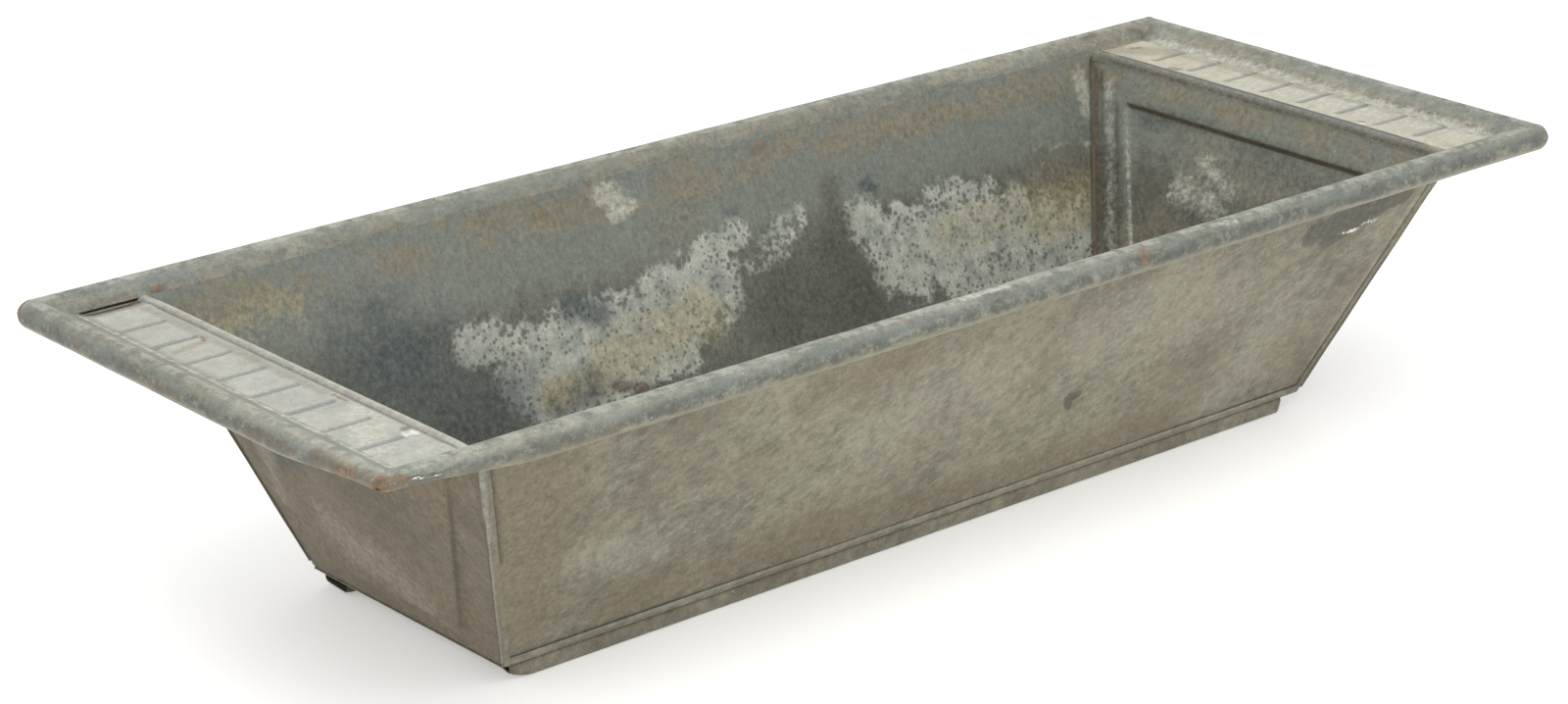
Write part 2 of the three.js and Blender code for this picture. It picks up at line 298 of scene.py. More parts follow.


# What lies on the zinc in places, and the painted shade and painted highlights brushed on like it:
# its two colours, the size of its ragged edge in mm, how soft that edge is and how much it covers.
stain_and_painted_light_kinds = {
    "blue": ("#434e51", "#5a6566", 55, 0.40, 0.75),
    "gloom": ("#50514a", "#63645b", 55, 0.45, 0.72),
    "buff": ("#7f7867", "#928a78", 55, 0.45, 0.50),
    "yellow": ("#a0956f", "#bbae86", 18, 0.45, 0.48),
    "groove": ("#6c7170", "#828683", 6, 0.45, 0.72),
    "shadow": ("#3d3b34", "#4d4a41", 6, 0.40, 0.85),
    "earth": ("#6d6250", "#7f735f", 55, 0.45, 0.60),
    "smoke": ("#504f45", "#615f54", 18, 0.18, 0.92),
    "chalk": ("#9c9888", "#aba898", 55, 0.45, 0.34),
    "pale": ("#aeada0", "#c6c4b8", 18, 0.40, 0.75),
    "brown": ("#51453a", "#766652", 6, 0.35, 0.72),
    "rust": ("#594535", "#8d6f50", 6, 0.30, 0.75),
    "white": ("#bdbdb4", "#e2e2dc", 6, 0.28, 0.92),
}


def zinc_finish(name, dark, light, tint, layers, rough=0.62, metal=0.3, relief=0.35, cloud=150, drift=0.35,
                streak=(20, 6), lean=(0, 0, 0), contrast=0.2, bands=(), lime=False, grit=0.16):
    """Weathered zinc: clouds and short streaks between a dark and a light tone, a second tint in drifts,
    flecks, bands at heights in mm, lime scale full of pits, and stains, painted shade and painted highlights
    brushed on."""
    finish = bpy.data.materials.new(name)
    finish.use_nodes = True
    tree = finish.node_tree
    tree.nodes.clear()
    where = add(tree, "ShaderNodeTexCoord").outputs["Object"]
    height_at = add(tree, "ShaderNodeSeparateXYZ", {"Vector": where}).outputs["Z"]
    long, fine = streak
    drawn = add(tree, "ShaderNodeMapping", {
        "Vector": where, "Scale": (long / fine, long / fine, 1), "Rotation": lean},
        vector_type="TEXTURE").outputs[0]

    def pattern(size, detail, rough_share=0.6, vector=where):
        made = add(tree, "ShaderNodeTexNoise", {
            "Vector": vector, "Scale": 1 / (size * mm), "Detail": detail, "Roughness": rough_share})
        return made.outputs["Fac"]

    def ramp(value, low, high):
        made = add(tree, "ShaderNodeMapRange", {
            "Value": value, "From Min": low, "From Max": high}, interpolation_type="SMOOTHSTEP")
        return made.outputs["Result"]

    def mix(share, first, second):
        made = add(tree, "ShaderNodeMix", {0: share, 6: first, 7: second}, data_type="RGBA")
        return made.outputs[2]

    def sum_up(first, second, kind="ADD"):
        return add(tree, "ShaderNodeMath", {0: first, 1: second}, operation=kind).outputs[0]

    def times(first, second):
        return sum_up(first, second, "MULTIPLY")

    def brushed(layer):
        return add(tree, "ShaderNodeAttribute", attribute_name=layer).outputs["Fac"]

    def waver(value, unevenness, amount):
        """A value pushed up and down by a pattern, by at most half the amount."""
        return sum_up(value, times(sum_up(unevenness, 0.5, "SUBTRACT"), amount))

    clouds = pattern(cloud, 3)
    streaks = pattern(fine, 4, 0.6, drawn)
    grain = pattern(2.2, 3)
    edges = {size: pattern(size, 5, 0.65) for size in (6, 18, 55)}
    tone = sum_up(sum_up(times(clouds, 0.30), times(streaks, 0.28)),
                  sum_up(times(edges[18], 0.24), times(grain, 0.18)))
    colour = mix(ramp(tone, 0.5 - contrast, 0.5 + contrast), linear(dark), linear(light))
    drifts = ramp(pattern(cloud * 0.7, 4, 0.6, drawn), 0.42, 0.66)
    colour = mix(times(drifts, drift), colour, linear(tint))

    for low, high, soft, shade, cover, broken, layer in bands:
        level = waver(height_at, edges[18], 2.4 * soft * mm)
        share = times(ramp(level, (low - soft) * mm, (low + soft) * mm),
                      ramp(level, (high + soft) * mm, (high - soft) * mm))
        share = times(share, cover)
        if broken:
            share = times(share, ramp(edges[broken], 0.42, 0.56))
        if layer:
            share = times(share, brushed(layer))
        colour = mix(share, colour, linear(shade))

    if lime:
        painted = brushed("lime")
        crust = ramp(waver(waver(painted, edges[55], 0.8), edges[18], 1.0), 0.34, 0.66)
        crust = times(crust, ramp(painted, 0.05, 0.3))
        pits = add(tree, "ShaderNodeTexVoronoi", {"Vector": where, "Scale": 1 / (6.5 * mm)})
        apart = waver(waver(pits.outputs["Distance"], edges[18], 1.0), edges[6], 0.5)
        apart = sum_up(apart, times(sum_up(1, painted, "SUBTRACT"), 0.5), "SUBTRACT")
        scale_tone = mix(ramp(edges[18], 0.35, 0.62), linear("#9da298"), linear("#c4c5b9"))
        colour = mix(times(crust, 0.62), colour, linear("#858a81"))
        pitted = times(crust, ramp(apart, 0.12, 0.34))
        colour = mix(times(pitted, 0.85), colour, scale_tone)

    cells = add(tree, "ShaderNodeTexVoronoi", {"Vector": where, "Scale": 1 / (15 * mm)})
    fleck = ramp(cells.outputs["Distance"], 0.085, 0.05)
    which = add(tree, "ShaderNodeSeparateColor", {"Color": cells.outputs["Color"]})
    pale_fleck = times(fleck, ramp(which.outputs[0], 0.86, 0.88))
    dark_fleck = times(fleck, ramp(which.outputs[1], 0.80, 0.82))
    colour = mix(times(pale_fleck, 0.55), colour, linear("#c9c7bb"))
    colour = mix(times(dark_fleck, 0.45), colour, linear("#45423b"))

    finer = {55: 18, 18: 6, 6: 6}
    for layer in layers:
        low, high, edge_size, soft, cover = stain_and_painted_light_kinds[layer]
        painted = brushed(layer)
        ragged = waver(waver(painted, edges[edge_size], 1.3), edges[finer[edge_size]], 0.9)
        mask = times(ramp(ragged, 0.5 - soft, 0.5 + soft), ramp(painted, 0.02, 0.2))
        stain_and_painted_light = mix(ramp(edges[6], 0.35, 0.65), linear(low), linear(high))
        colour = mix(times(mask, cover), colour, stain_and_painted_light)

    speckle = add(tree, "ShaderNodeMapRange", {
        "Value": sum_up(times(streaks, 0.3), sum_up(times(edges[6], 0.4), times(grain, 0.3))),
        "From Min": 0.32, "From Max": 0.68, "To Min": 0.5 - grit, "To Max": 0.5 + grit}).outputs["Result"]
    colour = add(tree, "ShaderNodeMix", {0: 1.0, 6: colour, 7: speckle},
                 data_type="RGBA", blend_type="OVERLAY").outputs[2]

    height = sum_up(sum_up(times(streaks, 0.4), times(grain, 0.25)), times(edges[18], 0.5))
    if lime:
        height = sum_up(height, times(pitted, 0.6))
    bump = add(tree, "ShaderNodeBump", {"Height": height, "Strength": relief, "Distance": 1.0 * mm})
    surface = add(tree, "ShaderNodeBsdfPrincipled", {
        "Base Color": colour,
        "Metallic": metal,
        "Roughness": add(tree, "ShaderNodeMapRange", {
            "Value": streaks, "From Min": 0.3, "From Max": 0.7,
            "To Min": rough - 0.08, "To Max": rough + 0.12}).outputs["Result"],
        "Normal": bump.outputs[0],
    })
    add(tree, "ShaderNodeOutputMaterial", {"Surface": surface.outputs[0]})
    return finish


# Hot-dipped zinc gone dull outdoors: no spangle is left, only slanting blotches of dried dirt.
outside_layers = ["groove", "earth", "smoke", "chalk", "shadow", "white"]
outer_zinc = zinc_finish(
    "weathered_zinc_outside", "#605c4e", "#938f7c", "#7b7160", outside_layers, rough=0.7, metal=0.2,
    relief=0.32, streak=(13, 7), lean=(0.75, -0.42, 0), contrast=0.15, grit=0.12)
outer_end_zinc = zinc_finish(
    "weathered_zinc_ends", "#524c3f", "#7c7463", "#695f4c", ["earth", "smoke", "chalk", "shadow"],
    rough=0.7, metal=0.2, relief=0.34, streak=(15, 7), lean=(0.75, -0.42, 0), contrast=0.18, grit=0.13)

# The same zinc where water stood in it: dark and green-grey below, lighter above the old water line,
# buff under the rim, with lime scale and blue-black stains.
inside_layers = ["blue", "gloom", "buff", "yellow", "pale", "brown", "shadow", "rust"]
water_bands = (
    (196, 400, 22, "#858a81", 0.78, 0, None),
    (250, 400, 12, "#8b8068", 0.55, 55, None),
    (276, 400, 4, "#78807c", 0.55, 18, None),
)
inner_zinc = zinc_finish(
    "water_stained_zinc_inside", "#565850", "#7d7e73", "#6b685b", inside_layers, rough=0.62, metal=0.22,
    relief=0.35, streak=(11, 4), lean=(0, math.pi / 2, 0), contrast=0.18, bands=water_bands, lime=True,
    grit=0.2)

flange = 11
flange_out = pan_high.y / mm - flange * math.sin(side_lean)
bend = 3.0
bend_run = bend * math.tan((math.pi / 2 - side_lean) / 2)
half_section = [
    (flange_out + s * math.sin(side_lean), floor_height + s * math.cos(side_lean))
    for s in steps(flange, bend_run, 5)]
half_section += [
    (flange_out - bend_run + bend * math.cos(a), floor_height + bend + bend * math.sin(a))
    for a in steps(-side_lean, -math.pi / 2, 6)[1:]]
half_section += [(flange_out * (1 - i / 14), floor_height) for i in range(1, 14)]
section = half_section + [(0, floor_height)] + [(-out, up) for out, up in reversed(half_section)]
pan_half = pan_high.x / mm
pan = skin(
    "folded_floor_pan",
    [[Vector((x, out, up)) * mm for out, up in section] for x in (-pan_half, pan_half)],
    150,
    Vector((0, 0, -1)),
)

# The lower corners of its turned edges are worn round.
pan_corner = 6
for vertex in pan.data.vertices:
    reach = abs(vertex.co.x) / mm - (pan_half - pan_corner)
    low = max(0.0, floor_height + pan_corner - vertex.co.z / mm)
    if reach > 0 and abs(vertex.co.y) / mm > floor_half_width:
        cut = min(reach, pan_corner) * (1 - math.sqrt(1 - min(1, low / pan_corner) ** 2))
        vertex.co.x -= math.copysign(cut * mm, vertex.co.x)
brush(pan, "lime", ((-300, -40, 18), (-120, 30, 18), 60, 0.8), ((150, 20, 18), (330, -30, 18), 55, 0.9))
brush(pan, "gloom", ((-450, 0, 18), (450, 0, 18), 90, 0.55))
brush(pan, "chalk", ((-500, -155, 27), (500, -155, 27), 3, 0.9))
finish_sheet(pan, sheet, [outer_zinc, inner_zinc], "body_zinc", "floor_pan")


# ------------------------------------------------------------
# Long sides: plain leaning sheets, slightly uneven from years of use. Their foot stands inside the
# floor's turned edge and their top runs on into the rolled rim.

roll_radius = 13.9
roll_inset = 14.3
roll_out = rim_half_width - roll_inset
end_roll_out = rim_half_length - roll_inset
roll_up = rim_height - roll_inset
crest_up = roll_up + roll_radius
sweep_radius = 21.2
sweep_up = crest_up - sweep_radius
wall_angle = math.pi - side_lean
sweep_foot = Vector((
    roll_out + sweep_radius * math.cos(wall_angle), sweep_up + sweep_radius * math.sin(wall_angle)))
skirt = 3.0
skirt_foot = sweep_foot - Vector((math.sin(side_lean), math.cos(side_lean))) * skirt
side_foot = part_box("rear_side_sheet")[0].z / mm


def end_reach(up):
    """How far out the end walls' outer face is at a height."""
    return floor_half_length + (up - floor_height) * math.tan(end_lean)


def side_fade(at):
    """Holds a side sheet still at its edges."""
    edge = min(at.z - side_foot, skirt_foot.y - at.z, end_reach(at.z) - abs(at.x))
    return max(0.0, min(1.0, edge / 25))


side_top = skirt_foot.y - sheet * math.sin(side_lean)
side_seam = {"rear": -0.4, "front": 0.8}
side_sheets = {}
for wall, seed in (("rear", 4.3), ("front", 9.1)):
    ends = [
        [on_wall(wall, turn * (end_reach(up) + side_seam[wall]), up) for up in steps(side_foot, side_top, 54)]
        for turn in (-1, 1)]
    piece = skin(f"leaning_side_{wall}", ends, 250, place(wall, 0, 1, -0.3))
    buckle(piece, 2.2, 260, seed, side_fade)
    buckle(piece, 0.9, 70, seed + 3, side_fade)
    side_sheets[wall] = piece

# Inside the rear sheet: lime scale in two large patches and a small one, blue-black water stains
# beside them, one clean dark stretch, a buff line and rust under the rim, and a rusty slot.
rear = side_sheets["rear"]
brush(
    rear, "lime",
    ((-292, 170), (-268, 168), 26, 0.85),
    ((-215, 128), (-60, 140), 52, 1.0),
    ((-70, 150), (18, 165), 44, 0.95),
    ((20, 196), (66, 204), 22, 0.75),
    ((105, 190), (150, 205), 22, 0.62),
    ((60, 168), (120, 172), 14, 0.55),
    ((285, 140), (375, 135), 52, 1.0),
    ((236, 186), (262, 158), 26, 1.0),
    ((400, 138), (480, 124), 44, 0.95),
    ((340, 190), (420, 180), 18, 0.7),
    ((500, 118), (552, 118), 30, 0.85),
    ((345, 98), (540, 92), 26, 0.9),
    ((-215, 96), (-40, 104), 24, 0.8), wall="rear")
brush(
    rear, "blue",
    ((-400, 190), (-330, 140), 60, 0.65),
    ((-330, 100), (-270, 110), 45, 0.6),
    ((-160, 178), (-130, 168), 16, 0.8),
    ((246, 217), (266, 211), 5, 0.8),
    ((256, 222), (262, 206), 4, 0.7),
    ((58, 228), (74, 225), 4.5, 0.7), wall="rear")
brush(
    rear, "gloom",
    ((100, 130), (190, 110), 46, 0.85),
    ((175, 150), (205, 190), 20, 0.8),
    ((195, 205), (205, 225), 14, 0.6),
    ((-520, 90), (-280, 70), 34, 0.8),
    ((-158, 104), (-206, 96), 18, 0.9), wall="rear")
brush(
    rear, "yellow",
    ((-130, 120), (0, 140), 30, 0.75),
    ((-215, 104), (-190, 112), 16, 0.7),
    ((350, 150), (480, 150), 26, 0.6),
    ((490, 140), (566, 138), 28, 1.0),
    ((-600, 240), (-480, 250), 20, 0.5), wall="rear")
brush(
    rear, "buff",
    ((-240, 272), (-150, 262), 16, 0.8),
    ((20, 250), (90, 262), 15, 0.8),
    ((110, 268), (190, 274), 9, 0.8),
    ((240, 262), (420, 268), 15, 0.8),
    ((440, 270), (560, 262), 14, 0.8),
    ((-20, 222), (20, 228), 14, 0.8),
    ((490, 176), (590, 172), 22, 1.0), wall="rear")
brush(
    rear, "pale",
    ((-92, 276), (-70, 268), 12, 0.9),
    ((-80, 254), (-60, 256), 9, 0.9),
    ((500, 206), (590, 198), 2.4, 0.55),
    ((596, 268), (596, 230), 10, 0.8), wall="rear")
brush(rear, "rust", ((116, 276), (130, 280), 7, 0.62),
      ((-168, 270), (-160, 268), 5, 0.6), wall="rear")
brush(rear, "brown", ((-134, 96), (-100, 88), 6, 1.0), wall="rear")
brush(rear, "shadow", ((end_reach(30) - 3, 30), (end_reach(280) - 3, 280), 4, 0.8), wall="rear")

# Outside the front sheet: painted shadow with grime under the roll, darker at the left, lighter in the
# middle, a smoky patch with a scratch at the upper right, and one small dent where the zinc has chipped.
front = side_sheets["front"]
press(front, lambda at: (at - Vector((150, -191, 116))).length < 8, (0, 1.6, 0.6), 14)
# The long stroke along the top, just under the roll, is painted shadow with grime.
brush(
    front, "earth",
    ((540, 60), (560, 240), 70, 0.9),
    ((400, 50), (-300, 40), 30, 0.7),
    ((600, 276), (-620, 276), 8, 1.0),
    ((120, 240), (220, 235), 30, 0.6), wall="front")
brush(
    front, "chalk",
    ((120, 160), (-10, 170), 60, 0.7),
    ((-160, 200), (-320, 190), 55, 0.8),
    ((-440, 150), (-400, 60), 40, 0.7),
    ((470, 120), (380, 110), 26, 0.7), wall="front")
brush(
    front, "smoke",
    ((-440, 240), (-570, 256), 16, 1.0),
    ((-470, 226), (-530, 246), 14, 1.0),
    ((-145, 121), (-154, 121), 7, 1.0),
    ((-148, 112), (-149, 110), 6, 1.0), wall="front")
brush(front, "white", ((-478, 224), (-540, 234), 2.2, 0.62), wall="front")
brush(front, "shadow", ((end_reach(150) - 9.5, 150), (end_reach(276) - 9.5, 276), 3.2, 0.8), wall="front")
brush(front, "chalk", ((-end_reach(60) + 12, 60), (-end_reach(276) + 12, 276), 3.4, 1.0), wall="front")
for wall, piece in side_sheets.items():
    finish_sheet(piece, sheet, [outer_zinc, inner_zinc], "body_zinc", f"{wall}_side_sheet")


# ------------------------------------------------------------
# Ends: leaning sheets between the sides, each with a large field pressed outwards in it that
# stiffens it. They were folded at the sides and are held in the four corner seams.

field_margin = 48
field_low = 43.6
field_high = 248
field_depth = 6
# How far in from the field's edge the pressed slope has which height.
field_slope = ((-1.5, 0), (0, 0.5), (1.6, 2.4), (3.4, 4.6), (5, 5.6), (6.5, field_depth), (16, field_depth))
fold_radius = 6.0
fold_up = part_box("right_ledge_fold")[1].z / mm - fold_radius


def inner_half_width(up):
    """Half the distance between the sides' inner faces at a height."""
    return floor_half_width + (up - floor_height) * math.tan(side_lean) - sheet / math.cos(side_lean)


def end_outline(wall, low, high, margin, radius, proud):
    """A closed round of points on an end wall: a trapezium with rounded corners, proud of the sheet."""
    corners = [
        Vector((-inner_half_width(low) + margin, low)), Vector((inner_half_width(low) - margin, low)),
        Vector((inner_half_width(high) - margin, high)), Vector((-inner_half_width(high) + margin, high))]
    line = []
    for i, corner in enumerate(corners):
        before = (corner - corners[i - 1]).normalized()
        after = (corners[(i + 1) % 4] - corner).normalized()
        start = corner - before * radius
        stop = corner + after * radius
        line += [start.lerp(corner, t).lerp(corner.lerp(stop, t), t) for t in steps(0, 1, 7)]
        to = corners[(i + 1) % 4] - after * radius
        line += [stop.lerp(to, t) for t in steps(0, 1, 28)[1:-1]]
    return [on_wall(wall, point.x, point.y, proud) for point in line + line[:1]]


def end_fade(at):
    """Holds an end sheet still at its edges."""
    edge = min(at.z - side_foot, field_high + 14 - at.z, inner_half_width(at.z) - abs(at.y))
    return max(0.0, min(1.0, edge / 25))


end_top = fold_up
for wall, seed in (("right", 2.7), ("left", 7.9)):
    facing = place(wall, 0, 1, -0.3)
    rounds = [
        end_outline(wall, side_foot, end_top, 0.4, 1.0, 0),
        end_outline(wall, field_low - 8, field_high + 8, field_margin - 8, 12.0, 0)]
    rounds += [
        end_outline(wall, field_low + margin, field_high - margin, field_margin + margin, 9.0, proud)
        for margin, proud in field_slope]
    bands = [
        skin("band", [first, second], 12 if index == 0 else 0, facing)
        for index, (first, second) in enumerate(zip(rounds, rounds[1:]))]
    field = start_mesh("field")
    draw_line(rounds[-1])
    bpy.ops.mesh.select_all(action="SELECT")
    bpy.ops.mesh.remove_doubles(threshold=0.02 * mm)
    bpy.ops.mesh.fill_grid(span=33, offset=3)
    bpy.ops.object.mode_set(mode="OBJECT")
    piece = join(f"pressed_end_{wall}", bands + [field], facing)
    buckle(piece, 1.6, 180, seed, end_fade)
    buckle(piece, 0.7, 60, seed + 5, end_fade)
    half_low, half_high = [inner_half_width(up) - field_margin for up in (field_low, field_high)]
    # Painted shadow under the field's top step; down its side edges painted shadow on the left end and a
    # painted highlight on the right end's inside.
    brush(piece, "shadow", (
        (-half_high + 8, field_high - 2, 4), (half_high - 8, field_high - 2, 4), 1.4, 0.7), wall=wall)
    for turn in (-1, 1):
        edge_foot = (turn * (half_low - 2), field_low + 8, 4)
        edge_head = (turn * (half_high - 2), field_high - 8, 4)
        brush(piece, "shadow" if wall == "left" else "pale", (edge_foot, edge_head, 2.4, 0.66), wall=wall)

        def by_corner(inset, low, high, half_width, strength):
            """A stroke up the sheet beside its corner."""
            return (
                (turn * (inner_half_width(low) - inset), low),
                (turn * (inner_half_width(high) - inset), high), half_width, strength)

        # Up beside each corner, inside: the seam's brown line, two dark lines of painted shade, a lighter
        # band of painted light with solder in it, and a thin painted highlight by the field's step.
        brush(piece, "brown", by_corner(5, 34, 274, 3.4, 0.95), wall=wall)
        brush(piece, "gloom", by_corner(13, 34, 270, 4, 0.8), by_corner(37, 34, 246, 3, 0.8), wall=wall)
        brush(piece, "pale", by_corner(25, 34, 262, 8, 0.45), by_corner(43, 40, 236, 1.7, 0.75), wall=wall)
    brush(
        piece, "buff",
        ((-60, 215), (100, 200), 34, 0.9), ((-120, 236), (120, 236), 10, 0.8),
        ((-130, 90), (-100, 130), 34, 0.9), ((-180, 268), (180, 262), 16, 0.6), wall=wall)
    brush(
        piece, "pale",
        ((-90, 178), (-30, 172), 16, 0.7), ((-60, 210), (-20, 190), 14, 0.6), wall=wall)
    brush(
        piece, "blue",
        ((-10, 232), (120, 215), 22, 0.7), ((-170, 236), (-60, 250), 14, 0.5), wall=wall)
    brush(piece, "gloom", ((-100, 120), (60, 130), 44, 0.8), wall=wall)
    brush(
        piece, "earth",
        ((-120, 60), (120, 90), 60, 1.0), ((-150, 200), (-190, 240), 40, 0.9),
        ((150, 240), (200, 260), 30, 0.9), wall=wall)
    brush(piece, "smoke", ((30, 210), (110, 170), 36, 0.62), wall=wall)
    brush(piece, "chalk", ((-60, 60), (60, 100), 26, 0.7), ((150, 100), (120, 230), 16, 0.7), wall=wall)
    finish_sheet(piece, sheet, [outer_end_zinc, inner_zinc], "body_zinc", f"{wall}_end_sheet")


# ------------------------------------------------------------
# Corner seams: the end sheet's folded edge hooks round the side sheet's end and is hammered flat.
# A rounded ridge stands proud along each corner, and a flat arm lies on the side sheet.

seam_low = 26
seam_high = 284
ridge = 2.3
for wall in ("rear", "front"):
    for hand in ("left", "right"):
        end = 1 if (hand == "right") == (wall == "rear") else -1
        beyond = side_seam[wall]

        def up_the_seam(across, proud):
            """The foot and the head of a line up the seam, that far beyond the end sheet."""
            return [spot(wall, end * (end_reach(up) + across), up, proud) for up in (seam_low, seam_high)]

        line = [(-9.0, 0.2), (-8.6, 0.9), (-7.5, 1.2), (-6.0, 1.2), (-4.0, 1.3), (-1.0, 1.7)]
        line += [
            (0.4 + ridge * math.cos(a), -0.2 + ridge * math.sin(a))
            for a in steps(math.pi * 0.55, -math.pi / 2, 8)]
        line += [(-1.6, -2.2), (-4.0, -2.2)]
        ends = []
        for up in (seam_low, seam_high):
            hook = end_reach(up) + beyond - 0.3
            ends.append([on_wall(wall, end * (hook + across), up, proud) for across, proud in line])
        piece = skin(f"corner_seam_strip_{wall}_{hand}", ends, 60, place(wall, 0, 1, -0.3))
        buckle(piece, 0.5, 45, 5.5 + end)
        foot, head = up_the_seam(beyond + 0.2, 1.4)
        edge_foot, edge_head = up_the_seam(beyond + 2.6, -0.4)
        # On the front left seam the ridge is painted lighter as a highlight, blue-grey near its top, with a
        # painted shadow line where it meets the end sheet; on the other seams the ridge's edge gets painted
        # shadow.
        if wall == "front" and hand == "left":
            brush(piece, "chalk", (foot, head, 2.6, 0.8))
            brush(piece, "groove", (foot.lerp(head, 0.6), head, 4.5, 0.8))
            brush(piece, "shadow", (edge_foot, edge_foot.lerp(edge_head, 0.7), 1.8, 0.85))
        else:
            brush(piece, "shadow", (edge_foot, edge_head, 3.4, 0.85))
        foot, head = up_the_seam(-0.5, 1.4)
        brush(piece, "smoke", (foot, foot.lerp(head, 0.6), 2.2, 0.8))
        brush(piece, "earth", (foot, foot.lerp(head, 0.75), 12, 0.7))
        finish_sheet(piece, 0.9, [outer_zinc], "body_zinc", f"corner_seam_{wall}_{hand}", even=False)


# ------------------------------------------------------------
# Rolled rims: the long sides' top edges sweep out to a crest and roll round a steel tube. At the
# ends the ledge sheet rises in a soft ramp and rolls the same way. Their ends are soldered.

ramp_start = 700.0
ramp_run = end_roll_out - ramp_start
ledge_up = 288.8
ramp_low = ledge_up + 0.2


def ramp_reach(up):
    """How far out an end ramp has this height."""
    share = max(0.0, min(1.0, (up - ramp_low) / (crest_up - ramp_low)))
    return ramp_start + ramp_run * (0.5 - math.sin(math.asin(1 - 2 * share) / 3))


def sweep_reach(up):
    """How far out a long rim's sweep has this height."""
    if up <= sweep_foot.y:
        return sweep_foot.x - (sweep_foot.y - up) * math.tan(side_lean)
    return roll_out - math.sqrt(max(0.0, sweep_radius ** 2 - (up - sweep_up) ** 2))


# Zinc handled and rubbed: a bright crest line, worn and painted as a highlight, blue-grey shoulders,
# partly a painted bluish sheen, dark mottles along the outermost line deepened by painted shade, dry khaki
# dirt below it, and a thin painted line of light bounced up from the floor along the roll's underside.
rim_bands = (
    (260, 287, 3, "#87836f", 0.75, 0, "outside"),
    (284.5, 298, 3.5, "#5b605b", 0.80, 18, "outside"),
    (286, 300, 3, "#4c4a42", 0.6, 6, "outside"),
    (294, 302, 3, "#7c847e", 0.60, 55, None),
    (303.4, 320, 0.5, "#adb0a6", 0.60, 18, None),
    (260, 277.6, 0.5, "#aaa692", 0.60, 18, "outside"),
)
rim_layers = ["earth", "buff", "chalk", "pale", "shadow", "brown", "rust", "white"]
rim_zinc = zinc_finish(
    "weathered_zinc_rolls_painted_light", "#6c7169", "#a09f92", "#86836f", rim_layers, rough=0.55, metal=0.35,
    relief=0.3, cloud=90, streak=(16, 6), contrast=0.18, bands=rim_bands)

crushed = Vector((-end_roll_out, -roll_out))
crush_reach = 165
crush_share = 0.47


def crush_corner(piece, whole=False):
    """The front left corner was knocked flat: the roll's underside rises towards its crest there."""
    for vertex in piece.data.vertices:
        at = vertex.co / mm
        near = 1 - (at.xy - crushed).length / crush_reach
        outside = abs(at.x) > end_roll_out or abs(at.y) > roll_out or at.z < 284
        if near > 0 and (whole or outside):
            squeeze = 1 - crush_share * near * near * (3 - 2 * near)
            vertex.co.z = (crest_up - (crest_up - at.z) * squeeze) * mm


def mark_outside(piece, wall, line):
    """Marks the half of a roll that looks outwards, for its bands of dirt, painted shade and painted light.
    """
    values = piece.data.attributes.new("outside", "FLOAT", "POINT").data
    for value, vertex in zip(values, piece.data.vertices):
        out = abs(vertex.co.y if wall in ("rear", "front") else vertex.co.x) / mm
        value.value = 1.0 if vertex.co.z < 284 * mm else max(0.0, min(1.0, (out - line + 3) / 6))


roll_radius_inside = roll_radius - sheet - 0.7
curl = [(math.cos(a), math.sin(a)) for a in steps(math.pi / 2, math.radians(-140), 26)[1:]]
rim_strokes = {
    "front": (
        ("rust", (140, -291, 300), (140, -296, 292), 6, 0.62),
        ("rust", (-164, -290, 303), (-160, -292, 301), 5, 0.6),
        ("pale", (-90, -284, 304), (-30, -285, 304), 3, 0.9),
        ("pale", (240, -286, 303), (270, -290, 302), 4, 0.7),
        ("earth", (-700, -296, 284), (-500, -296, 284), 6, 0.6),
        ("chalk", (-680, -290, 300), (-420, -290, 300), 8, 0.8),
        ("rust", (-735, -290, 294), (-724, -292, 294), 8, 0.8),
        ("brown", (-735, -288, 299), (-726, -290, 299), 5, 0.7),
        ("shadow", (-722, -296, 297), (-690, -297, 291), 2.2, 0.8),
        ("white", (-716, -297, 295), (-690, -297, 289), 1.1, 0.8)),
    "rear": (
        ("buff", (-100, 270, 298), (500, 270, 298), 6, 0.8),
        ("chalk", (380, 272, 301), (720, 272, 301), 9, 0.9),
        ("earth", (560, 270, 298), (730, 270, 300), 8, 0.7),
        ("buff", (-560, 268, 296), (-400, 268, 296), 7, 0.6),
        ("rust", (-618, 262, 290), (-608, 264, 292), 5, 0.8),
        ("brown", (620, 274, 303), (640, 276, 303), 5, 0.7),
        ("brown", (690, 270, 300), (705, 266, 297), 5, 0.7),
        ("buff", (-735, 270, 302), (-640, 264, 292), 5, 0.7)),
    "left": (
        ("rust", (-742, 182, 297), (-744, 178, 288), 6, 0.62),
        ("brown", (-738, 158, 300), (-740, 126, 292), 7, 0.62),
        ("brown", (-747, 90, 291), (-747, 10, 290), 5, 0.58),
        ("brown", (-747, -100, 290), (-747, -170, 292), 5, 0.62),
        ("rust", (-748, -234, 293), (-742, -284, 294), 8, 0.7),
        ("brown", (-747, -196, 293), (-742, -284, 292), 10, 0.8),
        ("shadow", (-746, -262, 288), (-744, -280, 291), 3, 0.8),
        ("pale", (-704, -245, 290), (-704, 250, 290), 3.2, 0.85),
        ("buff", (-704, -60, 290), (-704, 250, 291), 5, 0.9),
        ("rust", (-706, -150, 291), (-706, -158, 291), 3.5, 0.7),
        ("brown", (-742, 262, 296), (-742, 282, 290), 7, 0.8),
        ("shadow", (-746, 240, 288), (-746, -260, 288), 3, 0.55),
        ("brown", (-738, 230, 302), (-738, -20, 302), 4, 0.5),
        ("chalk", (-741, -80, 302), (-741, -240, 302), 6, 0.9)),
    "right": (
        ("pale", (704, -240, 290), (704, 240, 290), 9, 0.95),
        ("buff", (712, -240, 294), (712, 240, 294), 7, 0.9),
        ("chalk", (717, -240, 297), (717, 240, 297), 6, 0.7),
        ("buff", (722, 200, 299), (722, 80, 299), 7, 0.7),
        ("brown", (716, 262, 296), (722, 270, 300), 6, 0.6)),
}
